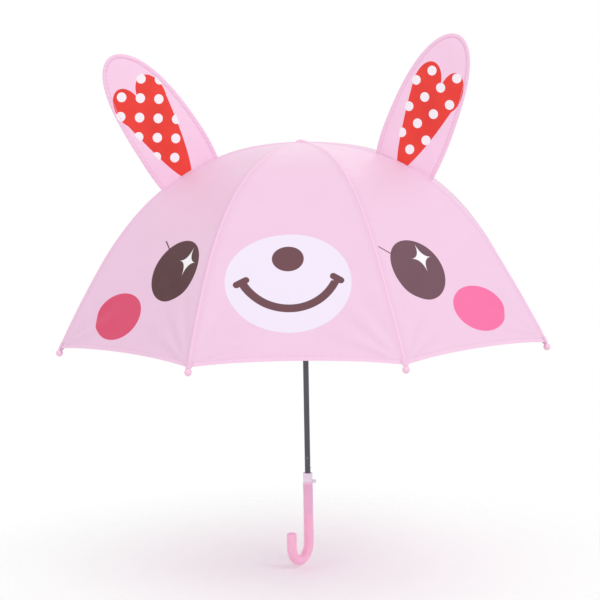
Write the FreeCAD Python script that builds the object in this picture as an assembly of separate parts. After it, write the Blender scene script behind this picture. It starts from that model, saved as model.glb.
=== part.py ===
"""Children's stick umbrella with rabbit ears: eight curved ribs, eight stretchers, a sliding runner,
a canopy of sixteen half panels, two ears and a hooked handle with a push button.

Millimetres, +Z up. The origin is the middle of the straight grip, on the shaft's axis. The canopy's
front panel faces -Y, so the ears stand at -X (left) and +X (right). The frame is open at rest."""
import FreeCAD, Part
import math
import os
from FreeCAD import Vector

# Handle and shaft
grip_length = 84.0
grip_radius = 7.0
hook_bend_radius = 23.0
hook_direction = 240.0          # degrees from +X, the way the hook turns away from the shaft
hook_arm_length = 13.0          # straight part of the short arm, up to the end plug
plug_height = 8.0
shaft_radius = 4.0
shaft_wall = 0.5
shaft_bottom = -6.0
shaft_top = 531.5
collar_top = 58.0
collar_radius = 6.8
band_top = 45.0
button_height = 45.2
button_radius = 2.6
button_reach = 12.0
button_travel = 1.5

# Rib: a start angle below the horizontal and four tangent arcs, each (length, turn in degrees)
rib_count = 8
pivot_circle = 9.0
notch_height = 527.0
rib_start_angle = -0.5
rib_arcs = [(90.0, 14.5), (170.0, 33.2), (80.0, 10.0), (121.0, 4.3)]
rib_width = 3.0
rib_depth = 3.0
rib_wall = 0.5
tongue_thickness = 1.2
tongue_length = 9.5
eye_radius = 1.9
eye_hole = 0.72
wire_radius = 0.6
joint_distance = 214.0          # along the rib, from the notch to the stretcher's joint
joint_drop = 0.3
rivet_radius = 0.7
running_gap = 0.08
fold_angle = 51.4               # how far the ribs swing down to close

# Stretcher
stretcher_width = 3.0
stretcher_depth = 2.6
fork_inner = 1.85
fork_outer = 2.5
fork_reach = 11.0
fork_eye = 1.7

# Runner and crown
slot_width = 1.8
slot_floor = 5.6
flange_radius = 12.0
runner_radius = 7.0
runner_length = 70.0
grip_ring_radius = 9.2
crown_up = 3.6
crown_down = 4.6
crown_neck = 7.0                # tapered sleeve under the crown
crown_neck_radius = 5.2
cap_radius = 10.0
cap_rise = 4.0

# Canopy: the cloth's outer face stands this far outside the rib's centre line
cloth_offset = 3.5
cloth_thickness = 0.4
cloth_gap = 0.15                # half the gap between neighbouring half panels
apex_radius = 11.0
apex_height = 531.9
cloth_lift_off = 55.0           # along the rib, where the cloth first lies on it
hem_rise = 5.0                  # the hem's middle is this much shorter than its corners
panel_steps = 14
half_panel_turn = math.pi / rib_count

# Rib tips
ball_radius = 4.75
neck_radius = 2.25
ball_distance = 10.2            # beyond the rib's end

# Ears
ear_base = 90.0                 # length of the sewn edge, along the rib
ear_length = 195.0
ear_half_width = 49.0
ear_widest_height = 62.0
ear_shoulder = 33.5
ear_shoulder_height = 163.0
ear_tip_shift = 9.0             # the tip and shoulders stand this far outwards of the base's middle
ear_thickness = 2.4
ear_stand_off = 1.8             # above the cloth
ear_inset = 3.0                 # edge channel to outline
ear_wire_radius = 0.6
# Rib number, where the sewn edge starts along the rib, and lean from the vertical in degrees
ears = {"ear_left": (7, 118.0, 30.6), "ear_right": (2, 107.0, 20.5)}

z_axis = Vector(0, 0, 1)
nodes = {}


def rib_azimuth(number):
    """Direction of a rib, in degrees from +X. Rib 1 is just right of the front."""
    return -67.5 + 360.0 / rib_count * (number - 1)


def around(shape, number):
    """Turn a piece from the X-Z plane to a rib's own plane."""
    turned = shape.copy()
    turned.rotate(Vector(0, 0, 0), z_axis, rib_azimuth(number))
    return turned


def rib_knots():
    """Start of each arc: distance along the rib, x, z, angle below the horizontal, turn per millimetre."""
    knots = []
    along, x, z, angle = 0.0, pivot_circle, notch_height, math.radians(rib_start_angle)
    for length, turn in rib_arcs:
        rate = math.radians(turn) / length
        knots.append((along, x, z, angle, rate))
        x += (math.sin(angle + rate * length) - math.sin(angle)) / rate
        z += (math.cos(angle + rate * length) - math.cos(angle)) / rate
        angle += rate * length
        along += length
    return knots


knots = rib_knots()
rib_length = sum(length for length, turn in rib_arcs)


def rib_angle(along):
    """Angle of the rib below the horizontal, in radians."""
    start, x, z, angle, rate = [knot for knot in knots if knot[0] <= max(along, 0.0)][-1]
    return angle + rate * (along - start)


def rib_point(along, offset=0.0):
    """Point on the rib's centre line, or offset outwards from it, in the X-Z plane."""
    start, x, z, angle, rate = [knot for knot in knots if knot[0] <= max(along, 0.0)][-1]
    here = angle + rate * (along - start)
    x += (math.sin(here) - math.sin(angle)) / rate + offset * math.sin(here)
    z += (math.cos(here) - math.cos(angle)) / rate + offset * math.cos(here)
    return Vector(x, 0, z)


def rib_edges(start, end, offset):
    """The arcs of a line parallel to the rib, between two distances along it."""
    stops = [start] + [knot[0] for knot in knots if start < knot[0] < end] + [end]
    if start > end:
        stops = [start] + [knot[0] for knot in reversed(knots) if end < knot[0] < start] + [end]
    edges = []
    for first, last in zip(stops, stops[1:]):
        points = [rib_point(along, offset) for along in (first, (first + last) / 2, last)]
        edges.append(Part.Arc(*points).toShape())
    return edges


def rib_band(start, end, low, high, y_low, y_high):
    """A strip that follows the rib, between two offsets and two sideways places."""
    edges = rib_edges(start, end, high)
    edges.append(Part.LineSegment(rib_point(end, high), rib_point(end, low)).toShape())
    edges += rib_edges(end, start, low)
    edges.append(Part.LineSegment(rib_point(start, low), rib_point(start, high)).toShape())
    face = Part.Face(Part.Wire(edges))
    face.translate(Vector(0, y_low, 0))
    return face.extrude(Vector(0, y_high - y_low, 0))


def pin_along_y(centre, radius, half_length):
    """A round bar across the rib's plane."""
    return Part.makeCylinder(radius, 2 * half_length, centre - Vector(0, half_length, 0), Vector(0, 1, 0))


def tube(outer, inner, bottom, top):
    body = Part.makeCylinder(outer, top - bottom, Vector(0, 0, bottom))
    return body.cut(Part.makeCylinder(inner, top - bottom, Vector(0, 0, bottom)))


def block(x_low, x_high, y_low, y_high, z_low, z_high):
    return Part.makeBox(x_high - x_low, y_high - y_low, z_high - z_low, Vector(x_low, y_low, z_low))


def polyline_solid(points, depth_from, depth_to):
    """A flat outline in the X-Z plane, given thickness along Y."""
    face = Part.Face(Part.makePolygon(points + points[:1]))
    face.translate(Vector(0, depth_from, 0))
    return face.extrude(Vector(0, depth_to - depth_from, 0))


# Linkage: the notch pivot, the rib's joint and the runner's pivot make two equal sides of a triangle
notch_pivot = Vector(pivot_circle, 0, notch_height)
rib_joint = rib_point(joint_distance, -joint_drop)
link_length = (rib_joint - notch_pivot).Length
link_angle = math.acos((notch_height - rib_joint.z) / link_length)
runner_height = notch_height - 2 * link_length * math.cos(link_angle)
closed_height = notch_height - 2 * link_length * math.cos(link_angle - math.radians(fold_angle))
runner_travel = runner_height - closed_height
runner_pivot = Vector(pivot_circle, 0, runner_height)
runner_bottom = runner_height - runner_length
rib_end = rib_point(rib_length)
end_angle = rib_angle(rib_length)
tip_direction = Vector(math.cos(end_angle), 0, -math.sin(end_angle))
ball_centre = rib_end + tip_direction * ball_distance

# Catch and springs
catch_low = 38.0
catch_high = 76.0
nose_low = 65.0
nose_high = 69.0
nose_reach = 4.9
seat_height = 80.0
drive_pin_height = runner_height - 12.0
drive_pin_radius = 0.7


def make_shaft():
    """Steel tube with a rear slot for the drive pin and windows for the button's stem and the catch."""
    body = tube(shaft_radius, shaft_radius - shaft_wall, shaft_bottom, shaft_top)
    slot_top = drive_pin_height + 3.0
    slot_bottom = drive_pin_height - runner_travel - 3.0
    body = body.cut(block(-0.9, 0.9, 2.0, 6.0, slot_bottom, slot_top))
    body = body.cut(block(2.0, 6.0, -1.1, 1.1, button_height - 1.1, button_height + 1.1))
    body = body.cut(block(2.0, 6.0, -1.5, 1.5, nose_low - 0.5, nose_high + 0.5))
    return body.cut(pin_along_y(Vector(0, 0, seat_height), 0.8, 5.0))


def slotted(body, pivot_height, low, high):
    """Cut the eight radial slots and the wire's groove into a crown or a runner flange."""
    for number in range(1, rib_count + 1):
        half = slot_width / 2
        slot = block(slot_floor, 20.0, -half, half, pivot_height + low, pivot_height + high)
        body = body.cut(around(slot, number))
    reach = wire_radius + 0.1
    return body.cut(tube(20.0, pivot_circle - wire_radius, pivot_height - reach, pivot_height + reach))


def make_crown():
    """Notch piece pressed on the shaft, which holds the upper ends of the ribs."""
    body = tube(flange_radius, shaft_radius, notch_height - crown_down, notch_height + crown_up)
    body = slotted(body, notch_height, -crown_down - 1, crown_up + 1)
    neck_bottom = notch_height - crown_down - crown_neck
    neck = Part.makeCone(crown_neck_radius, slot_floor + 0.4, crown_neck, Vector(0, 0, neck_bottom))
    neck = neck.cut(Part.makeCylinder(shaft_radius, crown_neck, Vector(0, 0, neck_bottom)))
    return body.fuse(neck).removeSplitter()


def wire_ring(height):
    return Part.makeTorus(pivot_circle, wire_radius, Vector(0, 0, height))


def make_cap():
    """Low domed cap, pressed into the shaft's top over the middle of the canopy."""
    bottom = apex_height + 0.1
    sphere_radius = (cap_radius ** 2 + cap_rise ** 2) / (2 * cap_rise)
    dome = Part.makeSphere(sphere_radius, Vector(0, 0, bottom + cap_rise - sphere_radius))
    dome = dome.common(Part.makeCylinder(cap_radius, cap_rise, Vector(0, 0, bottom)))
    neck = Part.makeCylinder(shaft_radius, bottom - shaft_top, Vector(0, 0, shaft_top))
    stem = Part.makeCylinder(shaft_radius - shaft_wall, 9.0, Vector(0, 0, shaft_top - 9.0))
    return dome.fuse([neck, stem]).removeSplitter()


def make_runner():
    """Sliding tube: a slotted flange at the top, a slim body and a flared grip ring at the bottom."""
    top = runner_height + 4.5
    body = Part.makeCylinder(runner_radius, top - runner_bottom, Vector(0, 0, runner_bottom))
    flange = Part.makeCylinder(flange_radius, 9.0, Vector(0, 0, runner_height - 4.5))
    taper = Part.makeCone(runner_radius, flange_radius, 6.0, Vector(0, 0, runner_height - 10.5))
    grip = Part.makeCylinder(grip_ring_radius, 4.0, Vector(0, 0, runner_bottom))
    flare = Part.makeCone(grip_ring_radius, runner_radius, 6.0, Vector(0, 0, runner_bottom + 4.0))
    body = body.fuse([flange, taper, grip, flare]).removeSplitter()
    bore = Part.makeCylinder(shaft_radius + running_gap, 200.0, Vector(0, 0, runner_bottom - 10.0))
    body = body.cut(bore)
    body = slotted(body, runner_height, -4.5, 5.0)
    keyway = block(2.0, nose_reach + 0.5, -1.9, 1.9, runner_bottom - 1, runner_bottom + 16.0)
    pin_hole = Part.makeCylinder(drive_pin_radius, 20.0, Vector(0, 0, drive_pin_height), Vector(0, 1, 0))
    return body.cut(keyway.fuse(pin_hole))


def make_drive_pin():
    """Cross pin from the runner's wall through the shaft's slot, pushed up by the main spring."""
    centre = Vector(0, 0, drive_pin_height)
    return Part.makeCylinder(drive_pin_radius, runner_radius - 0.3, centre, Vector(0, 1, 0))


def make_rib():
    """One curved steel channel, open on the inside, with a flat tongue and an eye at the notch."""
    half = rib_width / 2
    deep = rib_depth / 2
    solid_start = tongue_length - 1.0
    web = rib_band(solid_start, rib_length, deep - rib_wall, deep, -half, half)
    left = rib_band(solid_start, rib_length, -deep, deep, -half, -half + rib_wall)
    right = rib_band(solid_start, rib_length, -deep, deep, half - rib_wall, half)
    tongue = rib_band(0.0, tongue_length + 3.0, -deep, deep, -tongue_thickness / 2, tongue_thickness / 2)
    eye = pin_along_y(notch_pivot, eye_radius, tongue_thickness / 2)
    direction = (ball_centre - rib_end).normalize()
    spike = Part.makeCylinder(1.0, 12.0, rib_end - direction * 6.0, direction)
    body = web.fuse([left, right, tongue, eye, spike]).removeSplitter()
    rivet_hole = pin_along_y(rib_joint, rivet_radius + running_gap, 3.0)
    return body.cut(pin_along_y(notch_pivot, eye_hole, 3.0).fuse(rivet_hole))


def make_rib_tip():
    """Moulded ball end pushed on the rib's spike."""
    direction = (ball_centre - rib_end).normalize()
    ball = Part.makeSphere(ball_radius, ball_centre)
    neck = Part.makeCylinder(neck_radius, ball_distance, rib_end, direction)
    bore = Part.makeCylinder(1.0, 6.0, rib_end, direction)
    return ball.fuse(neck).removeSplitter().cut(bore)


def make_stretcher():
    """Straight strut: a fork with its rivet at the rib, a channel, a tongue with an eye at the runner."""
    direction = (runner_pivot - rib_joint).normalize()
    normal = Vector(-direction.z, 0, direction.x)
    if normal.z < 0:
        normal = -normal

    def at(distance, rise):
        return rib_joint + direction * distance + normal * rise

    def bar(start, end, low, high, y_low, y_high):
        return polyline_solid([at(start, low), at(end, low), at(end, high), at(start, high)], y_low, y_high)

    half = stretcher_width / 2
    deep = stretcher_depth / 2
    total = link_length
    channel_end = total - 8.5
    pieces = [bar(fork_reach, channel_end, deep - 0.5, deep, -half, half)]
    for side in (-1, 1):
        inner, outer = sorted((side * fork_inner, side * fork_outer))
        pieces.append(bar(0.0, fork_reach + 2.5, -deep, deep, inner, outer))
        cheek = Part.makeCylinder(fork_eye, outer - inner, rib_joint + Vector(0, inner, 0), Vector(0, 1, 0))
        pieces.append(cheek)
        inner, outer = sorted((side * (half - 0.5), side * half))
        pieces.append(bar(fork_reach, channel_end, -deep, deep, inner, outer))
    pieces.append(bar(fork_reach - 0.5, fork_reach + 2.5, -deep, deep, -fork_outer, fork_outer))
    pieces.append(bar(channel_end - 3.0, total, -deep, deep, -tongue_thickness / 2, tongue_thickness / 2))
    pieces.append(pin_along_y(runner_pivot, eye_radius, tongue_thickness / 2))
    pieces.append(pin_along_y(rib_joint, rivet_radius, fork_outer))
    body = pieces[0].fuse(pieces[1:]).removeSplitter()
    return body.cut(pin_along_y(runner_pivot, eye_hole, 3.0))


def seam_point(step):
    """Outer face of the cloth along a rib: straight from the apex to the rib, then parallel to it."""
    if step == 0:
        return Vector(apex_radius, 0, apex_height)
    share = (step - 1) / (panel_steps - 1)
    return rib_point(cloth_lift_off + share * (rib_length - cloth_lift_off), cloth_offset)


def middle_point(step):
    """Outer face of the cloth along the middle of a panel, level with the ribs at each side of it."""
    if step == 0:
        radius, height = apex_radius, apex_height
    else:
        share = (step - 1) / (panel_steps - 1)
        along = cloth_lift_off + share * (rib_length - hem_rise - cloth_lift_off)
        level = rib_point(along, cloth_offset)
        radius, height = level.x, level.z
    inward = radius * math.cos(half_panel_turn)
    return Vector(inward * math.cos(half_panel_turn), inward * math.sin(half_panel_turn), height)


def make_half_panel(side):
    """Cloth from a rib's seam to the middle of the next panel, in flat facets."""
    rows = []
    for step in range(panel_steps + 1):
        seam = seam_point(step)
        middle = middle_point(step)
        across = (middle - seam).normalize()
        seam = seam + across * (cloth_gap / abs(across.y))
        middle = middle - across * cloth_gap
        angle = rib_angle(step / panel_steps * rib_length)
        depth = Vector(math.sin(angle), 0, math.cos(angle)) * cloth_thickness
        toward_middle = Vector(math.cos(half_panel_turn), math.sin(half_panel_turn), 0)
        middle_depth = toward_middle * depth.x + z_axis * depth.z
        rows.append([seam, middle, middle - middle_depth, seam - depth])
    faces = []
    for row, following in zip(rows, rows[1:]):
        for corner in range(4):
            other = (corner + 1) % 4
            first, second, third, fourth = row[corner], row[other], following[other], following[corner]
            faces.append(Part.Face(Part.makePolygon([first, second, third, first])))
            faces.append(Part.Face(Part.makePolygon([first, third, fourth, first])))
    for row in (rows[0], rows[-1]):
        faces.append(Part.Face(Part.makePolygon([row[0], row[1], row[2], row[0]])))
        faces.append(Part.Face(Part.makePolygon([row[0], row[2], row[3], row[0]])))
    solid = Part.Solid(Part.makeShell(faces))
    if solid.Volume < 0:
        solid.reverse()
    return solid if side > 0 else solid.mirror(Vector(0, 0, 0), Vector(0, 1, 0))


def ear_outline(start, lean, inset):
    """Two bowed sides and a round tip, from the rear end of the sewn edge round to its front end."""
    height = cloth_offset + ear_stand_off
    base = (rib_point(start, height) + rib_point(start + ear_base, height)) * 0.5
    tilt = math.radians(lean)
    up = Vector(math.sin(tilt), 0, math.cos(tilt))
    across = Vector(math.cos(tilt), 0, -math.sin(tilt))
    rear = rib_point(start + inset, height)
    front = rib_point(start + ear_base - inset, height)
    widest = ear_half_width - inset
    shoulder = ear_shoulder - inset
    top = base + up * ear_shoulder_height + across * ear_tip_shift
    middle = base + up * ear_widest_height
    rear_side = Part.Arc(rear, middle - across * widest, top - across * shoulder)
    tip_point = base + up * (ear_length - inset) + across * ear_tip_shift
    tip = Part.Arc(top - across * shoulder, tip_point, top + across * shoulder)
    front_side = Part.Arc(top + across * shoulder, middle + across * widest, front)
    return [curve.toShape() for curve in (rear_side, tip, front_side)]


def round_bar(edges, radius):
    """A round bar along a chain of edges, with a ball at each corner between them."""
    pieces = []
    for edge in edges:
        start = edge.valueAt(edge.FirstParameter)
        profile = Part.Wire(Part.makeCircle(radius, start, edge.tangentAt(edge.FirstParameter)))
        pieces.append(Part.Wire(edge).makePipeShell([profile], True, False))
        pieces.append(Part.makeSphere(radius, start))
    return pieces[0].fuse([pieces[2]] + pieces[3:]).removeSplitter()


def make_ear(start, lean):
    """Flat double-layer ear with a tunnel for its wire, open at both ends of the base."""
    base_edges = rib_edges(start + ear_base, start, cloth_offset + ear_stand_off)
    face = Part.Face(Part.Wire(ear_outline(start, lean, 0.0) + base_edges))
    face.translate(Vector(0, -ear_thickness / 2, 0))
    body = face.extrude(Vector(0, ear_thickness, 0))
    return body.cut(round_bar(ear_outline(start, lean, ear_inset), ear_wire_radius + 0.15))


def make_ear_wire(start, lean):
    """Sprung wire hoop sewn into the ear's edge."""
    return round_bar(ear_outline(start, lean, ear_inset), ear_wire_radius)


def hook_path(start_height):
    """Line down the grip, half turn, and the short arm up, in the X-Z plane with the hook towards +X."""
    low = -grip_length / 2
    corner = Vector(0, 0, low)
    far = Vector(2 * hook_bend_radius, 0, low)
    bottom = Vector(hook_bend_radius, 0, low - hook_bend_radius)
    return [Part.LineSegment(Vector(0, 0, start_height), corner).toShape(),
            Part.Arc(corner, bottom, far).toShape(),
            Part.LineSegment(far, far + z_axis * hook_arm_length).toShape()]


def make_handle():
    """Hooked handle, bored for the shaft from above and for the plug at the short arm's end."""
    body = round_bar(hook_path(grip_length / 2), grip_radius)
    arm_end = Vector(2 * hook_bend_radius, 0, -grip_length / 2 + hook_arm_length)
    body = body.cut(Part.makeCylinder(shaft_radius, 200.0, Vector(0, 0, shaft_bottom)))
    body = body.cut(Part.makeCylinder(4.5, 6.0, arm_end - z_axis * 6.0))
    body.rotate(Vector(0, 0, 0), z_axis, hook_direction)
    return body


def make_end_plug():
    """Domed plug that closes the hook's short arm."""
    arm_end = Vector(2 * hook_bend_radius, 0, -grip_length / 2 + hook_arm_length)
    head = Part.makeCylinder(grip_radius, plug_height, arm_end)
    top = arm_end.z + plug_height - 0.1
    head = head.makeFillet(3.0, [edge for edge in head.Edges if edge.BoundBox.ZMin > top])
    plug = head.fuse(Part.makeCylinder(4.5, 5.0, arm_end - z_axis * 5.0)).removeSplitter()
    plug.rotate(Vector(0, 0, 0), z_axis, hook_direction)
    return plug


def make_collar():
    """Pale ferrule over the handle's top, with a pink band below it that houses the button."""
    ferrule = Part.makeCylinder(collar_radius, collar_top - band_top, Vector(0, 0, band_top))
    top_edges = [edge for edge in ferrule.Edges if edge.BoundBox.ZMin > collar_top - 0.1]
    ferrule = ferrule.makeChamfer(0.6, top_edges)
    ferrule = ferrule.cut(Part.makeCylinder(shaft_radius, 60.0, Vector(0, 0, 20.0)))
    return ferrule.cut(button_bore())


def make_band():
    """Short pink ring under the collar."""
    return tube(grip_radius, shaft_radius, grip_length / 2, band_top).cut(button_bore())


def button_bore():
    """Round hole that the push button slides in."""
    return Part.makeCylinder(button_radius + 0.2, 20.0, Vector(0, 0, button_height), Vector(1, 0, 0))


def make_push_button():
    """Cup-shaped button with a stem that reaches the catch inside the shaft."""
    inner_face = shaft_radius + button_travel + 0.2
    forward = Vector(1, 0, 0)
    start = Vector(inner_face, 0, button_height)
    cup = Part.makeCylinder(button_radius, button_reach - inner_face, start, forward)
    cup = cup.makeFillet(0.9, [edge for edge in cup.Edges if edge.BoundBox.XMin > button_reach - 0.1])
    cup = cup.cut(Part.makeCylinder(2.0, button_reach - 1.2 - inner_face, start, forward))
    stem = Part.makeCylinder(0.8, button_reach - 1.0 - 2.9, Vector(2.9, 0, button_height), forward)
    return cup.fuse(stem).removeSplitter()


def make_catch():
    """Leaf inside the shaft whose nose holds the closed runner."""
    leaf = block(2.3, 2.9, -1.0, 1.0, catch_low, catch_high)
    nose = polyline_solid([Vector(2.9, 0, nose_low), Vector(nose_reach, 0, nose_low),
                           Vector(2.9, 0, nose_high)], -1.0, 1.0)
    return leaf.fuse(nose).removeSplitter()


def make_button_spring():
    """Outer and inner size of the button's return spring, between the shaft and the inside of the cup."""
    sleeve = tube(1.7, 1.2, shaft_radius + 0.1, button_reach - 1.3)
    sleeve.rotate(Vector(0, 0, 0), Vector(0, 1, 0), 90)
    sleeve.translate(z_axis * button_height)
    return sleeve


def make_main_spring():
    """Outer and inner size of the opening spring, between its seat and the drive pin."""
    top = drive_pin_height - drive_pin_radius - 0.1
    return tube(3.1, 2.2, seat_height + 0.8, top)


def write(name, shape):
    solid = shape.Solids[0] if len(shape.Solids) == 1 else shape
    if not solid.isValid() or solid.Volume <= 0 or len(shape.Solids) != 1:
        print("CHECK", name, "valid", solid.isValid(), "solids", len(shape.Solids))
    nodes[name] = solid
    solid.exportStep("parts/" + name + ".step")


def build():
    os.makedirs("parts", exist_ok=True)
    write("shaft", make_shaft())
    write("crown", make_crown())
    write("crown_wire", wire_ring(notch_height))
    write("cap", make_cap())
    write("runner", make_runner())
    write("runner_wire", wire_ring(runner_height))
    write("drive_pin", make_drive_pin())
    write("main_spring", make_main_spring())
    write("spring_seat_pin", pin_along_y(Vector(0, 0, seat_height), 0.8, shaft_radius))
    write("handle", make_handle())
    write("handle_end_plug", make_end_plug())
    write("handle_band", make_band())
    write("collar", make_collar())
    write("push_button", make_push_button())
    write("catch", make_catch())
    write("button_spring", make_button_spring())
    rib, stretcher, tip = make_rib(), make_stretcher(), make_rib_tip()
    right_half, left_half = make_half_panel(1), make_half_panel(-1)
    for number in range(1, rib_count + 1):
        write("rib_%d" % number, around(rib, number))
        write("rib_tip_%d" % number, around(tip, number))
        write("stretcher_%d" % number, around(stretcher, number))
        write("canopy_%d_right" % number, around(right_half, number))
        write("canopy_%d_left" % number, around(left_half, number))
    for name, (number, start, lean) in ears.items():
        write(name, around(make_ear(start, lean), number))
        write(name + "_wire", around(make_ear_wire(start, lean), number))
    print("runner height", round(runner_height, 2), "travel", round(runner_travel, 2))


build()
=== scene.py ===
import math

import bmesh
import bpy
import numpy as np
from mathutils import Matrix, Vector


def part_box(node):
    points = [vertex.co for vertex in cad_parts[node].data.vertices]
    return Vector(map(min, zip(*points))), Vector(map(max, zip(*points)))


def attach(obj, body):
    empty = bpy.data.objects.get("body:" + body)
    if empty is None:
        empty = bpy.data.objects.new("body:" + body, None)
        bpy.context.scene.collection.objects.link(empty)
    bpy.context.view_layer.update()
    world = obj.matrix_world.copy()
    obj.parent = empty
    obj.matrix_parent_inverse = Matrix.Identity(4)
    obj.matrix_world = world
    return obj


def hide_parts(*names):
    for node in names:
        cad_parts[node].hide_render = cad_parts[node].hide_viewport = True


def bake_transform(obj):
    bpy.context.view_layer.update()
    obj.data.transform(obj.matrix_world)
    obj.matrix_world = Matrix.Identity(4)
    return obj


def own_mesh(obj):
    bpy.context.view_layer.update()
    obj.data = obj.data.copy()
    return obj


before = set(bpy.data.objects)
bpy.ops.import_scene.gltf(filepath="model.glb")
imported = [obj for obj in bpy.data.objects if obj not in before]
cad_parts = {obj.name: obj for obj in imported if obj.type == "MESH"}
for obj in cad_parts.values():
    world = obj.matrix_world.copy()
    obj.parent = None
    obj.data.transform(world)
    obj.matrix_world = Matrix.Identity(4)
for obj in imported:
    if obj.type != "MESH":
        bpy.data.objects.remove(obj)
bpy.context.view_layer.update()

# Metres and degrees. The stick stands on Z, and the face looks towards -Y.

ribLine = {
    "count": 8,
    "firstAzimuth": -67.5,
    "pivotRadius": 0.009,
    "pivotHeight": 0.527,
    "startAngle": -0.5,
    "arcs": [(0.090, 14.5), (0.170, 33.2), (0.080, 10.0), (0.121, 4.3)],     # length, turn
    "closedTilt": 1.2,          # the closed ribs' angle from the shaft
    "spare": 0.010,             # how far the curve can be followed past either end
}
ribLength = sum(length for length, turn in ribLine["arcs"])
halfTurn = math.pi / ribLine["count"]

colours = {
    "pink": (0.860, 0.590, 0.762),
    "pinkShade": (0.805, 0.505, 0.695),
    # pale pink of the seams' and hem's doubled cloth, with a painted highlight on their raised ridges and on
    # the thread's twist
    "pinkSeamAndHighlight": (0.93, 0.60, 0.79),
    "pinkInside": (0.80, 0.50, 0.68),
    "muzzle": (0.845, 0.765, 0.90),
    "brown": (0.150, 0.058, 0.072),
    "star": (0.93, 0.90, 0.93),
    "earPink": (0.94, 0.635, 0.815),
    "earEdge": (0.86, 0.49, 0.69),
    "red": (0.90, 0.050, 0.034),
    "dot": (0.93, 0.88, 0.93),
    "redCreaseShade": (0.64, 0.016, 0.014),
    "thread": (0.86, 0.58, 0.75),
}
printEdge = 0.0004              # width of the ramp at a print's edge
threadEdge = 0.0002             # and at a stitch's
clothGloss = {"Sheen Weight": 0.25, "Sheen Roughness": 0.4, "Specular IOR Level": 0.35}


# ---- shader helpers

def mathMethod(operation):
    return lambda signal, *others: signal.math(operation, signal, *others)


class Signal:
    # One output of a node; arithmetic on it adds Math nodes
    def __init__(self, finish, link):
        self.finish = finish
        self.link = link

    def math(self, operation, *inputs):
        return self.finish.node("ShaderNodeMath", {"operation": operation}, inputs)

    def __rsub__(self, other):
        return self.math("SUBTRACT", other, self)

    __add__ = __radd__ = mathMethod("ADD")
    __sub__ = mathMethod("SUBTRACT")
    __mul__ = __rmul__ = mathMethod("MULTIPLY")
    __truediv__ = mathMethod("DIVIDE")
    __pow__ = mathMethod("POWER")
    most = mathMethod("MAXIMUM")
    remainder = mathMethod("FLOORED_MODULO")
    size = mathMethod("ABSOLUTE")
    sine = mathMethod("SINE")

    def within(self, softness):
        # 1 where the value is above zero, 0 below, with a narrow ramp between
        return self.finish.node("ShaderNodeClamp", None, [self / softness + 0.5, 0.0, 1.0])


class Finish:
    # One material while it is being built
    def __init__(self, name):
        self.material = bpy.data.materials.new(name)
        self.material.use_nodes = True
        self.tree = self.material.node_tree
        self.tree.nodes.clear()

    def node(self, kind, settings=None, inputs=(), output=0):
        made = self.tree.nodes.new(kind)
        for key, value in (settings or {}).items():
            setattr(made, key, value)
        named = inputs.items() if isinstance(inputs, dict) else enumerate(inputs)
        for key, value in named:
            if isinstance(value, Signal):
                self.tree.links.new(value.link, made.inputs[key])
            elif made.inputs[key].type == "RGBA" and len(value) == 3:
                made.inputs[key].default_value = (*value, 1.0)
            else:
                made.inputs[key].default_value = value
        return Signal(self, made.outputs[output])

    def mix(self, first, second, share):
        return self.node("ShaderNodeMix", {"data_type": "RGBA"}, {0: share, 6: first, 7: second}, 2)

    def uvPoint(self, name):
        return self.node("ShaderNodeUVMap", {"uv_map": name})

    def uv(self, name):
        point = self.uvPoint(name)
        return [self.node("ShaderNodeSeparateXYZ", None, [point], axis) for axis in (0, 1)]

    def place(self):
        # Object coordinates
        return self.node("ShaderNodeTexCoord", None, (), 3)

    def axes(self):
        return [self.node("ShaderNodeSeparateXYZ", None, [self.place()], axis) for axis in (0, 1, 2)]

    def noise(self, point, scale, detail):
        return self.node("ShaderNodeTexNoise", None, {"Vector": point, "Scale": scale, "Detail": detail})

    def bump(self, height, depth, strength):
        return self.node("ShaderNodeBump", None, {"Strength": strength, "Distance": depth, "Height": height})

    def finish(self, colour, roughness, normal, constants):
        sockets = {"Base Color": colour, "Roughness": roughness, "Normal": normal, **constants}
        surface = self.node("ShaderNodeBsdfPrincipled", None, sockets)
        out = self.tree.nodes.new("ShaderNodeOutputMaterial")
        self.tree.links.new(surface.link, out.inputs["Surface"])
        return self.material


def ellipseMask(u, v, centre, radii, turn=0.0):
    # The distance to the centre in units of the radii is below 1 inside; turn is from the v axis towards u
    c, s = math.cos(math.radians(turn)), math.sin(math.radians(turn))
    across, down = u - centre[0], v - centre[1]
    first = (across * s + down * c) / radii[0]
    second = (across * c - down * s) / radii[1]
    reach = (first * first + second * second) ** 0.5
    return ((1.0 - reach) * min(radii)).within(printEdge)


def strokeMask(finish, u, v, start, end, width, softness=printEdge):
    # Inside a line with round ends: the nearest point between start and end is closer than half the width
    spanU, spanV = end[0] - start[0], end[1] - start[1]
    across, down = u - start[0], v - start[1]
    share = (across * spanU + down * spanV) / (spanU ** 2 + spanV ** 2)
    share = finish.node("ShaderNodeClamp", None, [share, 0.0, 1.0])
    gapU, gapV = across - share * spanU, down - share * spanV
    return (width / 2 - (gapU * gapU + gapV * gapV) ** 0.5).within(softness)


def stitchMask(distance, along, line, pitch=0.0028, width=0.00045, gap=0.28):
    # Short dashes along a line at a set distance from an edge; gap is their share of the pitch
    dash = (along.remainder(pitch) - pitch * gap).within(threadEdge)
    return (width - (distance - line).size()).within(threadEdge) * dash


# ---- mesh helpers

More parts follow.
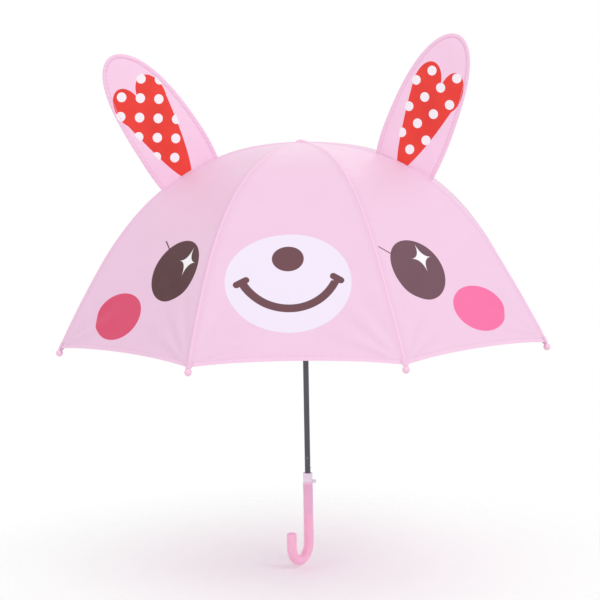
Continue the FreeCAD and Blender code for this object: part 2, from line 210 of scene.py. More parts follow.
def gridMesh(name, points, uvMaps=None, flip=False, wrap=False):
    # A grid of points becomes quads, row by row; wrap joins the last column to the first
    rows, columns = points.shape[:2]
    index = np.arange(rows * columns).reshape(rows, columns)
    left = index if wrap else index[:, :-1]
    right = np.roll(index, -1, 1) if wrap else index[:, 1:]
    quads = np.stack([left[:-1], right[:-1], right[1:], left[1:]], -1).reshape(-1, 4)
    quads = quads[:, ::-1] if flip else quads
    mesh = bpy.data.meshes.new(name)
    mesh.from_pydata(points.reshape(-1, 3).tolist(), [], quads.tolist())
    for label, values in (uvMaps or {}).items():
        layer = mesh.uv_layers.new(name=label)
        layer.data.foreach_set("uv", values.reshape(-1, 2)[quads.reshape(-1)].ravel())
    mesh.polygons.foreach_set("use_smooth", np.ones(len(quads), bool))
    edgeOfCorner = np.zeros(len(mesh.loops), np.int32)
    mesh.loops.foreach_get("edge_index", edgeOfCorner)
    border = np.bincount(edgeOfCorner, minlength=len(mesh.edges)) == 1      # of one face only: kept crisp
    mesh.attributes.new("sharp_edge", "BOOLEAN", "EDGE").data.foreach_set("value", border)
    made = bpy.data.objects.new(name, mesh)
    bpy.context.scene.collection.objects.link(made)
    return made


def weld(made):
    # Joins the points that a pole or a sewn edge brings together
    work = bmesh.new()
    work.from_mesh(made.data)
    bmesh.ops.remove_doubles(work, verts=work.verts, dist=1e-6)
    work.to_mesh(made.data)
    work.free()


def thicken(made, thickness):
    # Cloth is drawn at its outer face and gets its thickness inwards
    skin = made.modifiers.new("thickness", "SOLIDIFY")
    skin.thickness = thickness
    skin.offset = -1.0
    return skin


def carriedTube(name, path, radius, sides):
    # A ring of points is carried along a path, square to it: centre + radius * (cos * side + sin * rise).
    # The end rings are closed with a point.
    ahead = np.gradient(path, axis=0)
    ahead /= np.linalg.norm(ahead, axis=1, keepdims=True)
    reference = np.where(np.abs(ahead[:, 2:]) < 0.9, [[0.0, 0.0, 1.0]], [[1.0, 0.0, 0.0]])
    side = np.cross(ahead, reference)
    side /= np.linalg.norm(side, axis=1, keepdims=True)
    rise = np.cross(side, ahead)
    turn = np.linspace(0, 2 * math.pi, sides, endpoint=False)
    rings = path[:, None] + radius * (np.cos(turn)[None, :, None] * side[:, None]
                                      + np.sin(turn)[None, :, None] * rise[:, None])
    caps = np.repeat(path[[0, -1], None], sides, 1)
    made = gridMesh(name, np.concatenate([caps[:1], rings, caps[1:]]), wrap=True)
    weld(made)
    return made


def ribCurve(along, offset=0.0):
    # Radius, height and slope on a line parallel to the rib. Each arc adds (sin end - sin start) / rate
    # outwards and (cos end - cos start) / rate upwards, for the part of it that has been passed.
    along = np.asarray(along, float)
    radius = np.full(along.shape, ribLine["pivotRadius"])
    height = np.full(along.shape, ribLine["pivotHeight"])
    slope = math.radians(ribLine["startAngle"])
    here = np.full(along.shape, slope)
    start = 0.0
    for number, (length, turn) in enumerate(ribLine["arcs"]):
        rate = math.radians(turn) / length
        before = ribLine["spare"] if number == 0 else 0.0
        beyond = ribLine["spare"] if number == len(ribLine["arcs"]) - 1 else 0.0
        passed = np.clip(along - start, -before, length + beyond)
        radius += (np.sin(slope + rate * passed) - math.sin(slope)) / rate
        height += (np.cos(slope + rate * passed) - math.cos(slope)) / rate
        here += rate * passed
        slope += math.radians(turn)
        start += length
    return radius + offset * np.sin(here), height + offset * np.cos(here), here


def ribAzimuth(number):
    return math.radians(ribLine["firstAzimuth"] + 360.0 / ribLine["count"] * (number - 1))


def around(azimuth, radial, tangential, height):
    # Radial and sideways places, turned about the shaft
    c, s = np.cos(azimuth), np.sin(azimuth)
    return np.stack([radial * c - tangential * s, radial * s + tangential * c,
                     np.broadcast_to(height, np.shape(radial))], -1)


def ease(value):
    value = np.clip(value, 0.0, 1.0)
    return value * value * (3 - 2 * value)


# ---- canopy

canopy = {
    "faceOffset": 0.0035,       # outer face from the ribs' centre line
    "crownLift": 0.00135,       # and this much more over the crown
    "liftLength": 0.055,
    "innerStart": -0.0010,      # the top edge, just under the cap
    "clothThickness": 0.0003,
    "panelSag": 0.0030,
    "hemDrop": 0.0045,          # the corners reach this far past the ribs' ends
    "hemRise": 0.0070,
    "seamDrift": 0.020,         # radians that the seams stray sideways half way down
    "seamLift": 0.0020,         # and the cloth stands this much further out there
    "foldDepth": 0.0024,        # soft folds that run up from the corners
    "folds": ({"rate": 13.0, "phase": 0.0, "share": 1.0, "start": 0.03, "reach": 0.105},
              {"rate": 29.0, "phase": 1.0, "share": 0.35, "start": 0.02, "reach": 0.05}),
    "seamWidth": 0.0024,
    "seamRise": 0.00045,
    "ridgeEdge": 0.0007,
    "hemWidth": 0.0070,
    "rows": 150,
    "columns": 30,
    "seamColumns": (0.0, 0.0005, 0.0011, 0.0017, 0.0021, 0.0025, 0.0031),       # over the seam's ridge
    "seamColumnsWidth": 0.012,  # of a half panel, above which they keep these places
    "swing": 84.0,              # how far a half panel swings to close
    "weave": 0.0006,
}
clothLook = {
    "driftScale": 14.0, "driftShare": 0.45,
    # painted shade beside the seams: how far it reaches, its ramp and its share
    "seamShade": 0.0075, "seamShadeSoft": 0.006, "seamShadeShare": 0.45,
    "foldSoft": 0.0006, "seamShare": 0.8, "hemShare": 0.30,
    "seamStitch": 0.0007, "hemStitch": 0.0012,      # from the seam's and hem's edges to their stitches
    "printStart": 0.2,                              # share of the seam's width that no print reaches
    "insideShare": 0.72, "stitchShare": 0.8,
    "grainScale": 60.0, "roughness": 0.42, "roughnessSpan": 0.16,
    "seamPucker": {"pitch": 0.009, "reach": 0.012}, "hemPucker": {"pitch": 0.011, "reach": 0.014},
    "creaseScale": 30.0, "creaseHeight": 0.9, "weaveHeight": 0.035, "puckerHeight": 0.16,
    "hemHeight": 0.30, "stitchHeight": 0.12, "bumpDepth": 0.0010, "bumpStrength": 0.75,
}


def panelProfileLength(along):
    # Length down the middle of a panel, from above the rib's pivot
    fine = np.linspace(0.0, ribLength + ribLine["spare"], 2000)
    radius, height, slope = ribCurve(fine, canopy["faceOffset"])
    steps = np.hypot(np.diff(radius * math.cos(halfTurn)), np.diff(height))
    passed = np.concatenate([[0.0], np.cumsum(steps)])
    return np.where(along < 0, along, np.interp(along, fine, passed))


def halfPanel(number, side):
    # Rows run from the cap to the hem, columns from the seam to the panel's middle. A row is the chord
    # between two neighbouring ribs' lines. The cloth sags inwards by sag * (1 - U^2) * sin(pi * along /
    # length), where U is 1 at the seam and 0 in the middle; the hem rises there by rise * (1 - U^2).
    rows = np.linspace(0, 1, canopy["rows"])[:, None]
    across = np.linspace(0, 1, canopy["columns"])[None, 1:]
    width = ribCurve(rows * ribLength, canopy["faceOffset"])[0] * math.sin(halfTurn)
    nearSeam = np.array(canopy["seamColumns"])[None] * np.minimum(1.0, width / canopy["seamColumnsWidth"])
    rest = nearSeam[:, -1:] + (width - nearSeam[:, -1:]) * across
    U = 1 - np.concatenate([nearSeam, rest], 1) / width
    end = ribLength + canopy["hemDrop"] - canopy["hemRise"] * (1 - U * U)
    along = canopy["innerStart"] + rows * (end - canopy["innerStart"])
    lift = canopy["crownLift"] * np.clip(1 - along / canopy["liftLength"], 0, 1) ** 2
    radius, height, slope = ribCurve(along, canopy["faceOffset"])
    radius = radius + lift * np.sin(slope)
    height = height + lift * np.cos(slope)
    width = radius * math.sin(halfTurn)
    fromSeam = (1 - U) * width
    fromHem = end - along

    # Folds fan out from the corner: each is sin(rate * angle + phase), and fades with the distance
    wave = np.sin(math.pi * np.clip(along / ribLength, 0, 1))
    corner = np.hypot(fromSeam, fromHem)
    fan = np.arctan2(fromSeam, fromHem + 1e-5)
    folds = sum(np.sin(fan * fold["rate"] + fold["phase"]) * fold["share"] * ease(corner / fold["start"])
                * np.exp(-(corner / fold["reach"]) ** 2) for fold in canopy["folds"])
    folds = folds * canopy["foldDepth"] * np.minimum(1.0, 4 * (1 - U) * U) * U
    ridge = canopy["seamRise"] * ease((canopy["seamWidth"] - fromSeam) / canopy["ridgeEdge"])
    proud = ridge + folds + (canopy["seamLift"] - canopy["panelSag"] * (1 - U * U)) * wave

    radial = radius * math.cos(halfTurn) + proud * np.sin(slope)
    middle = ribAzimuth(number) + side * halfTurn
    sideways = -side * U * radial * math.tan(halfTurn)
    points = around(middle - canopy["seamDrift"] * wave * U, radial, sideways, height + proud * np.cos(slope))
    clothPlace = np.stack([sideways, panelProfileLength(along)], -1)
    edgePlace = np.stack([fromSeam, fromHem], -1)
    made = gridMesh("canopyHalf_%d_%s" % (number, "right" if side > 0 else "left"), points,
                    {"cloth": clothPlace, "edge": edgePlace}, flip=side > 0)
    return made, points, 1 - U


def pleatWeights(points, shareAcross, number, side):
    # How far each point swings about its rib's chord, as a share of the full swing. Its angle round the chord
    # goes from where it is now to the one at which its share of the width stands round the closed shaft.
    azimuth = ribAzimuth(number)
    radial = points[..., 0] * math.cos(azimuth) + points[..., 1] * math.sin(azimuth)
    sideways = side * (points[..., 1] * math.cos(azimuth) - points[..., 0] * math.sin(azimuth))
    endRadius, endHeight, slope = ribCurve(ribLength)
    chord = np.array([endRadius - ribLine["pivotRadius"], endHeight - ribLine["pivotHeight"]])
    chord /= np.linalg.norm(chord)
    outward, upward = radial - ribLine["pivotRadius"], points[..., 2] - ribLine["pivotHeight"]
    along = outward * chord[0] + upward * chord[1]
    off = upward * chord[0] - outward * chord[1]
    reach = np.maximum(np.hypot(off, sideways), 1e-6)
    closedRadius = ribLine["pivotRadius"] + along * math.sin(math.radians(ribLine["closedTilt"]))
    turn = halfTurn * shareAcross
    closed = turn + np.arcsin(np.clip(closedRadius * np.sin(turn) / reach, -1, 1))
    return (np.arctan2(sideways, off) - closed) / math.radians(canopy["swing"])


def clothBase(finish, u, v):
    # Pink taffeta with slow random changes of tone, painted shade beside the seams, the seams' and hem's
    # doubled cloth lighter with a painted highlight, and its stitching
    look = clothLook
    fromSeam, fromHem = finish.uv("edge")
    drift = finish.noise(finish.uvPoint("cloth"), look["driftScale"], 2.0)
    colour = finish.mix(colours["pink"], colours["pinkShade"], drift * look["driftShare"])
    # Painted shade: a darker band along each seam, where the cloth turns over the rib
    seamShade = (look["seamShade"] - fromSeam).within(look["seamShadeSoft"])
    colour = finish.mix(colour, colours["pinkShade"], seamShade * look["seamShadeShare"])
    # The seams' strips and the hem are lighter: their doubled cloth, and a painted highlight on the raised
    # ridge
    onSeam = (canopy["seamWidth"] - fromSeam).within(look["foldSoft"])
    onHem = (canopy["hemWidth"] - fromHem).within(look["foldSoft"])
    colour = finish.mix(colour, colours["pinkSeamAndHighlight"], onSeam * look["seamShare"])
    colour = finish.mix(colour, colours["pinkSeamAndHighlight"], onHem * look["hemShare"])
    stitches = stitchMask(fromSeam, v, canopy["seamWidth"] - look["seamStitch"]).most(
        stitchMask(fromHem, u, canopy["hemWidth"] - look["hemStitch"]))
    return colour, stitches, fromSeam, fromHem, onHem


def puckerHeight(along, distance, pucker):
    # Waves along an edge that fade out evenly with the distance from it
    wave = (along * (2 * math.pi / pucker["pitch"])).sine()
    return wave * ((pucker["reach"] - distance) / pucker["reach"]).most(0.0)


def weaveHeight(u, v):
    # Threads both ways: sin(u) * sin(v) at the weave's pitch
    thread = 2 * math.pi / canopy["weave"]
    return (u * thread).sine() * (v * thread).sine()


def clothNormal(finish, u, v, fromSeam, fromHem, stitches, onHem):
    # Weave threads, small puckers square to the seams and hem, and soft creases
    look = clothLook
    pucker = puckerHeight(v, fromSeam, look["seamPucker"]) + puckerHeight(u, fromHem, look["hemPucker"])
    crease = finish.noise(finish.uvPoint("cloth"), look["creaseScale"], 2.0)
    height = (weaveHeight(u, v) * look["weaveHeight"] + pucker * look["puckerHeight"]
              + crease * look["creaseHeight"] + onHem * look["hemHeight"]
              - stitches * look["stitchHeight"])
    return finish.bump(height, look["bumpDepth"], look["bumpStrength"])


# The prints' places are across from their panel's middle line, and down from the canopy's top
muzzleShape = {
    "centre": (-0.0086, 0.3338), "radii": (0.0700, 0.0809),
    "nose": (-0.0110, 0.3005), "noseRadii": (0.0181, 0.0201),
    "smile": (-0.0088, 0.3038), "smileReach": 0.0667, "smileHalfWidth": 0.0054, "smileTop": 0.0285,
    "bars": (((-0.0750, 0.3373), (-0.0633, 0.3307)), ((0.0483, 0.3264), (0.0583, 0.3324))),
    "barWidth": 0.0090,
}
eyeDetail = {"lashWidth": 0.0019, "lashEdge": 0.0005, "starPower": 0.52, "starReach": 1.03, "starEdge": 0.06}


def muzzlePrint(finish, u, v, colour):
    # Pale oval with a brown nose and a round smile with a bar across each end
    shape = muzzleShape
    oval = ellipseMask(u, v, shape["centre"], shape["radii"])
    colour = finish.mix(colour, colours["muzzle"], oval)
    nose = ellipseMask(u, v, shape["nose"], shape["noseRadii"])
    across, down = u - shape["smile"][0], v - shape["smile"][1]
    offRing = ((across * across + down * down) ** 0.5 - shape["smileReach"]).size()
    ring = (shape["smileHalfWidth"] - offRing).within(printEdge)
    below = (down - shape["smileTop"]).within(printEdge)
    mouth = (ring * below).most(nose)
    for start, end in shape["bars"]:
        mouth = mouth.most(strokeMask(finish, u, v, start, end, shape["barWidth"]))
    return finish.mix(colour, colours["brown"], mouth)


def eyePrint(finish, u, v, colour, eye):
    # Tilted brown oval with a four-pointed star, a short lash above and a pink cheek below
    cheek = ellipseMask(u, v, eye["cheek"], eye["cheekRadii"], eye["cheekTurn"])
    colour = finish.mix(colour, eye["cheekColour"], cheek)
    oval = ellipseMask(u, v, eye["centre"], eye["radii"], eye["turn"])
    lash = strokeMask(finish, u, v, *eye["lash"], eyeDetail["lashWidth"], eyeDetail["lashEdge"])
    colour = finish.mix(colour, eye["colour"], oval.most(lash))
    # Star: with both arms scaled to 1, the sum of the distances to the power starPower is below starReach
    (longU, longV), (shortU, shortV) = eye["starLong"], eye["starShort"]
    size = longU * shortV - longV * shortU
    across, down = u - eye["star"][0], v - eye["star"][1]
    first = ((across * shortV - down * shortU) / size).size() ** eyeDetail["starPower"]
    second = ((down * longU - across * longV) / size).size() ** eyeDetail["starPower"]
    star = (eyeDetail["starReach"] - (first + second)).within(eyeDetail["starEdge"])
    return finish.mix(colour, colours["star"], star)


# The left eye's and cheek's colours are painted shade: darker copies of the right eye's and cheek's inks, as
# the front-left panels lie in shade
leftEyeShaded = {
    "colour": (0.078, 0.015, 0.020), "centre": (0.0431, 0.3203), "radii": (0.0457, 0.0443), "turn": 48.4,
    "cheekColour": (0.72, 0.058, 0.150), "cheek": (-0.0363, 0.3933), "cheekRadii": (0.0438, 0.0337),
    "cheekTurn": -86.3, "lash": ((-0.0050, 0.2788), (0.0124, 0.2920)),
    "star": (0.0612, 0.3064), "starLong": (-0.0002, 0.0214), "starShort": (0.0170, 0.0008),
}
rightEye = {
    "colour": (0.146, 0.058, 0.086), "centre": (-0.0477, 0.3232), "radii": (0.0447, 0.0437), "turn": -57.6,
    "cheekColour": (0.90, 0.155, 0.370), "cheek": (0.0330, 0.3877), "cheekRadii": (0.0471, 0.0328),
    "cheekTurn": 86.3, "lash": ((-0.0971, 0.2863), (-0.0819, 0.2980)),
    "star": (-0.0332, 0.3072), "starLong": (0.0, 0.0210), "starShort": (0.0170, -0.0002),
}


def clothFinish(name, paint=None, inside=False):
    finish = Finish(name)
    u, v = finish.uv("cloth")
    colour, stitches, fromSeam, fromHem, onHem = clothBase(finish, u, v)
    if paint:
        printed = paint(finish, u, v, colour)
        clear = 1.0 - (canopy["seamWidth"] * clothLook["printStart"] - fromSeam).within(printEdge)
        colour = finish.mix(colour, printed, clear)
    if inside:
        colour = finish.mix(colour, colours["pinkInside"], clothLook["insideShare"])
    colour = finish.mix(colour, colours["pinkShade"], stitches * clothLook["stitchShare"])
    normal = clothNormal(finish, u, v, fromSeam, fromHem, stitches, onHem)
    grain = finish.noise(finish.uvPoint("cloth"), clothLook["grainScale"], 2.0)
    roughness = grain * clothLook["roughnessSpan"] + clothLook["roughness"]
    return finish.finish(colour, roughness, normal, clothGloss)


def buildCanopy():
    inner = clothFinish("canopyClothInside", inside=True)
    plain = clothFinish("canopyClothPink")
    muzzle = clothFinish("canopyClothMuzzle", muzzlePrint)
    left = clothFinish("canopyClothLeftEye", lambda f, u, v, c: eyePrint(f, u, v, c, leftEyeShaded))
    right = clothFinish("canopyClothRightEye", lambda f, u, v, c: eyePrint(f, u, v, c, rightEye))
    printed = {(8, 1): muzzle, (1, -1): muzzle, (7, 1): left, (8, -1): left, (1, 1): right, (2, -1): right}
    for number in range(1, ribLine["count"] + 1):
        for side, word in ((1, "right"), (-1, "left")):
            made, points, shareAcross = halfPanel(number, side)
            made.data.materials.append(printed.get((number, side), plain))
            made.data.materials.append(inner)
            skin = thicken(made, canopy["clothThickness"])
            skin.material_offset = 1
            skin.material_offset_rim = 0
            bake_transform(made)
            weights = pleatWeights(points, shareAcross, number, side).astype(np.float32)
            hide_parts("canopy_%d_%s" % (number, word))
            widths = np.linalg.norm(points[:, 0] - points[:, -1], axis=1)
    print("canopy: 16 half panels")


# ---- small cloth and thread pieces

trim = {
    "patchInner": 0.0043, "patchOuter": 0.0135, "patchHeight": 0.5311, "patchDrop": 0.0016,
    "patchBend": 0.0115,        # the crown's rim, where the patch starts to curve down
    "threadRadius": 0.00035, "threadTurns": 4, "tieRadius": 0.00265,
    "tieStart": 0.0012, "tieLength": 0.0028,
    "tabLength": 0.0110, "tabWidth": 0.0052, "tabThickness": 0.0006,
    "tabStart": 0.004,          # how far up the rib the tab starts
    "tabNarrowing": 0.4, "tabLift": 0.0005, "tabStep": 0.0012, "tabStepLength": 0.0025, "tabCurl": 0.0012,
}


def threadFinish():
    finish = Finish("sewingThread")
    x, y, z = finish.axes()
    # Painted highlight: the thread is paler pink on the twist's crests, where its bump is highest
    twist = ((x + y + z) * 5200.0).sine() * 0.5 + 0.5
    colour = finish.mix(colours["thread"], colours["pinkSeamAndHighlight"], twist)
    return finish.finish(colour, twist * 0.15 + 0.5, finish.bump(twist, 0.0001, 0.6), {"Sheen Weight": 0.3})


def crownPatch(cloth):
    # A disc of cloth over the crown: flat as far as the crown's rim, then curving down by drop * share^2
    radius = np.linspace(trim["patchInner"], trim["patchOuter"], 14)
    bent = np.clip((radius - trim["patchBend"]) / (trim["patchOuter"] - trim["patchBend"]), 0, 1)
    height = trim["patchHeight"] - trim["patchDrop"] * bent ** 2
    turn = np.linspace(0, 2 * math.pi, 64, endpoint=False)
    points = around(turn[None], radius[:, None] + 0 * turn[None], 0.0, height[:, None] + 0 * turn[None])
    away = np.full(points.shape[:2] + (2,), 0.05)       # no seam or hem near it
    made = gridMesh("crownPatch", points, {"cloth": points[..., :2], "edge": away}, wrap=True)
    thicken(made, canopy["clothThickness"])
    made.data.materials.append(cloth)
    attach(made, "stick")


def tipTie(number, thread):
    # Thread wound round the neck of a rib's tip: a helix about the neck's axis
    radius, height, slope = ribCurve(ribLength)
    radius, height, slope = float(radius), float(height), float(slope)
    turns = np.linspace(0, 2 * math.pi * trim["threadTurns"], 90)
    alongNeck = trim["tieStart"] + trim["tieLength"] * turns / turns[-1]
    out = trim["tieRadius"] * np.cos(turns)
    radial = radius + alongNeck * math.cos(slope) + out * math.sin(slope)
    lift = height - alongNeck * math.sin(slope) + out * math.cos(slope)
    path = around(ribAzimuth(number), radial, trim["tieRadius"] * np.sin(turns), lift)
    made = carriedTube("tipTie_%d" % number, path, trim["threadRadius"], 6)
    made.data.materials.append(thread)
    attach(made, "rib_%d" % number)


def cornerTab(number, cloth):
    # Folded cloth tab from the hem's corner over the tip's neck: a strip that narrows evenly, with its sides
    # turned down by the square of the distance from its middle line
    along = np.linspace(-trim["tabStart"], trim["tabLength"] - trim["tabStart"], 16)[:, None]
    across = np.linspace(-1, 1, 13)[None]
    radius, height, slope = ribCurve(ribLength)
    narrow = 1 - trim["tabNarrowing"] * (along + trim["tabStart"]) / trim["tabLength"]
    sideways = across * trim["tabWidth"] * narrow
    step = trim["tabStep"] * ease((along - canopy["hemDrop"]) / trim["tabStepLength"])
    over = canopy["faceOffset"] + trim["tabLift"] - step - trim["tabCurl"] * across ** 2
    radial = radius + along * np.cos(slope) + over * np.sin(slope)
    lift = height - along * np.sin(slope) + over * np.cos(slope)
    points = around(ribAzimuth(number), radial, sideways, lift)
    flat = np.stack([sideways, ribLength + along + 0 * across], -1)
    fromSide = trim["tabWidth"] * narrow * (1 - np.abs(across))
    edge = np.stack([fromSide, trim["tabLength"] - trim["tabStart"] - along + 0 * across], -1)
    made = gridMesh("cornerTab_%d" % number, points, {"cloth": flat, "edge": edge}, flip=True)
    thicken(made, trim["tabThickness"])
    made.data.materials.append(cloth)
    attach(made, "rib_%d" % number)


def buildTrim():
    thread = threadFinish()
    cloth = bpy.data.materials["canopyClothPink"]
    crownPatch(cloth)
    for number in range(1, ribLine["count"] + 1):
        tipTie(number, thread)
        cornerTab(number, cloth)
    print("trim: patch, ties and corner tabs")


# ---- ears

earShape = {
    "height": 0.1955,
    "halfWidth": 0.0495,
    "power": 3.4,               # of the superellipse that closes the tip
    "baseOffset": -0.002,
    "tipOffset": 0.0125,
    "baseLength": 0.090,
    "standOff": 0.0053,         # of the CAD ear's base from the ribs' centre line
    "channel": 0.0028,          # half the width of the wire's channel
    "channelDepth": 0.0013,
    "stitchDepth": 0.0003,
    "billow": 0.0015,
    "wireRadius": 0.0006,
    "rows": 84,
    "columns": 96,
    "bow": 0.004,
    "seamReach": 0.06,          # the base leaves the seam's line over this height
    "footRange": (0.05, 0.28),  # along the rib
    "rowPower": 1.5, "tipPower": 1.6,
    "footHeight": 0.045, "footNarrowing": 0.07,
    "rippleShare": 0.30, "rippleHeight": 0.10, "billowLength": 0.010,
    "baseThin": 0.25, "baseThinHeight": 0.006,
    "wireStart": 0.003,
    "bendLength": 0.016,        # the base bends over this height when the ear flops
    "heartPower": 0.57, "heartBelow": 0.006, "heartOverlap": 0.0002,
    "dotPitch": 0.0264, "dotRadius": 0.0066, "dotMargin": 0.0026, "haloWidth": 0.0024,
}
earLook = {
    "driftScale": 18.0, "driftShare": 0.22, "creaseShadeShare": 1.3, "frontEdge": 0.02,
    "channelSoft": 0.0010, "channelShare": 0.30, "stitchPitch": 0.0026, "stitchShare": 0.9,
    "pucker": {"pitch": 0.008, "reach": 0.012}, "creaseScale": 26.0,
    "puckerHeight": 0.2, "stitchHeight": 0.15, "bumpDepth": 0.0012, "bumpStrength": 0.8,
    "roughness": 0.44, "roughnessSpan": 0.12,
}
# Hearts and dots are in the ear's own plane: across from the base's middle, and up
earSides = {
    "ear_left": {"rib": 7, "start": 0.118, "lean": 30.6, "front": 1,
        "heartFoot": 0.0020, "heartLean": 0.035, "heartWide": 0.0370, "heartShoulder": 0.123,
        "lobes": (((-0.0115, 0.1230), (0.0195, 0.0285)), ((0.0260, 0.1230), (0.0185, 0.0290))),
        "dotOrigin": (0.0265, 0.1410), "dotTurn": 34.2},
    "ear_right": {"rib": 2, "start": 0.107, "lean": 20.5, "front": -1,
        "heartFoot": -0.0056, "heartLean": 0.110, "heartWide": 0.0365, "heartShoulder": 0.1175,
        "lobes": (((-0.0091, 0.1175), (0.0200, 0.0320)), ((0.0281, 0.1175), (0.0165, 0.0285))),
        "dotOrigin": (-0.0077, 0.1374), "dotTurn": 48.0},
}


def heartMask(x, y, side, grow=0.0):
    # Two round lobes over a body whose half width grows from the foot with heartPower of the height
    below, top = earShape["heartBelow"], side["heartShoulder"]
    share = ((y + below) / (top + below)).most(0.0)
    middle = y * side["heartLean"] + side["heartFoot"]
    wide = share ** earShape["heartPower"] * side["heartWide"] + grow
    body = (wide - (x - middle).size()).within(printEdge)
    body = body * (top + earShape["heartOverlap"] - y).within(printEdge)
    lobes = [ellipseMask(y, x, (centre[1], centre[0]), (radii[0] + grow, radii[1] + grow))
             for centre, radii in side["lobes"]]
    return body.most(lobes[0]).most(lobes[1])


def dotMask(x, y, side):
    # Round dots on a square grid, turned in the ear's plane; one shows where its centre is on the heart
    pitch = earShape["dotPitch"]
    c, s = math.cos(math.radians(side["dotTurn"])), math.sin(math.radians(side["dotTurn"]))
    across, up = x - side["dotOrigin"][0], y - side["dotOrigin"][1]
    first = (across * c + up * s + pitch / 2).remainder(pitch) - pitch / 2
    second = (up * c - across * s + pitch / 2).remainder(pitch) - pitch / 2
    centreX, centreY = x - (first * c - second * s), y - (first * s + second * c)
    shown = heartMask(centreX, centreY, side, earShape["dotMargin"])
    return (earShape["dotRadius"] - (first * first + second * second) ** 0.5).within(printEdge) * shown


def earFinish(name, side):
    # Pink cloth, a stitched channel round the edge, and on the front a red heart with white dots, with
    # painted shade of creases on the red
    finish, look = Finish(name), earLook
    x, y = finish.uv("cloth")
    inset, face = finish.uv("edge")
    front = face.within(look["frontEdge"])
    drift = finish.noise(finish.uvPoint("cloth"), look["driftScale"], 2.0)
    colour = finish.mix(colours["earPink"], colours["earEdge"], drift * look["driftShare"])
    channel = (2 * earShape["channel"] - inset).within(look["channelSoft"])
    colour = finish.mix(colour, colours["earEdge"], channel * look["channelShare"])
    heart = heartMask(x, y, side) * front
    halo = heartMask(x, y, side, earShape["haloWidth"]) * front
    dots = dotMask(x, y, side)
    # Painted shade: darker red patches on the heart stand for the shade in its creases
    red = finish.mix(colours["red"], colours["redCreaseShade"], drift * drift * look["creaseShadeShare"])
    colour = finish.mix(colour, red, heart)
    colour = finish.mix(colour, colours["dot"], dots * halo)
    stitches = stitchMask(inset, x + y, 2 * earShape["channel"], look["stitchPitch"])
    colour = finish.mix(colour, colours["earEdge"], stitches * look["stitchShare"])
    pucker = puckerHeight(x - y, inset, look["pucker"])
    crease = finish.noise(finish.uvPoint("cloth"), look["creaseScale"], 2.0)
    height = (weaveHeight(x, y) * clothLook["weaveHeight"] + pucker * look["puckerHeight"] + crease
              - stitches * look["stitchHeight"])
    normal = finish.bump(height, look["bumpDepth"], look["bumpStrength"])
    return finish.finish(colour, crease * look["roughnessSpan"] + look["roughness"], normal, clothGloss)


def earBase(side):
    # Middle of the ear's base in its rib's plane, and the cosine and sine of the ear's lean
    ends = ribCurve(np.array([side["start"], side["start"] + earShape["baseLength"]]), earShape["standOff"])
    lean = math.radians(side["lean"])
    return ends[0].mean(), ends[1].mean(), math.cos(lean), math.sin(lean)


def earPlace(side, across, up, off):
    # Points of the ear's plane in the room: across and up from the base's middle, and off the plane. The base
    # follows the seam that it is sewn to, and the ear bows a little backwards with the square of the height.
    radius, base, c, s = earBase(side)
    radial = radius + across * c + up * s
    height = base - across * s + up * c
    along = side["start"] + earShape["baseLength"] / 2 + across
    wave = np.sin(math.pi * np.clip(along / ribLength, 0, 1))
    drift = -canopy["seamDrift"] * wave * radial * (1 - ease(up / earShape["seamReach"]))
    bow = earShape["bow"] * np.clip(up / earShape["height"], 0, 1) ** 2
    return around(ribAzimuth(side["rib"]), radial, drift + (bow + off) * side["front"], height)


def earFoot(side, across):
    # Height of the seam under the ear, in the ear's own plane
    base, lift, c, s = earBase(side)
    along = np.linspace(*earShape["footRange"], 60)
    radius, height, slope = ribCurve(along, canopy["faceOffset"] + canopy["seamLift"])
    out, rise = radius - base, height - lift
    return np.interp(across, out * c - rise * s, out * s + rise * c)


def earThickness(across, up, inset):
    # A round channel along the edge, then a shallow billow that rises as 1 - exp(-distance / billowLength)
    c, flat = earShape["channel"], earShape["stitchDepth"]
    channel = earShape["channelDepth"] * np.sqrt(np.clip(1 - ((inset - c) / c) ** 2, 0, 1))
    ripple = np.sin(across * 150 + 2.0 * np.sin(up * 35)) * np.exp(-up / earShape["rippleHeight"])
    ripple += 0.5 * np.sin(across * 70 - up * 55 + 1.3)
    inner = 1 - np.exp(-np.clip(inset - 2 * c, 0, 1) / earShape["billowLength"])
    billow = flat + earShape["billow"] * (1 + earShape["rippleShare"] * ripple) * inner
    thick = np.where(inset < 2 * c, np.maximum(channel, flat * ease(inset / c)), billow)
    thin = earShape["baseThin"]
    return thick * (thin + (1 - thin) * ease(up / earShape["baseThinHeight"]))


def edgeDistance(flat, edge):
    # From each point to the nearest place on the outline's segments
    span = np.diff(edge, axis=0)
    squared = np.maximum((span * span).sum(-1), 1e-12)
    gap = flat[:, :, None] - edge[:-1]
    near = np.clip((gap * span).sum(-1) / squared, 0, 1)
    return np.linalg.norm(gap - near[..., None] * span, axis=-1).min(-1)


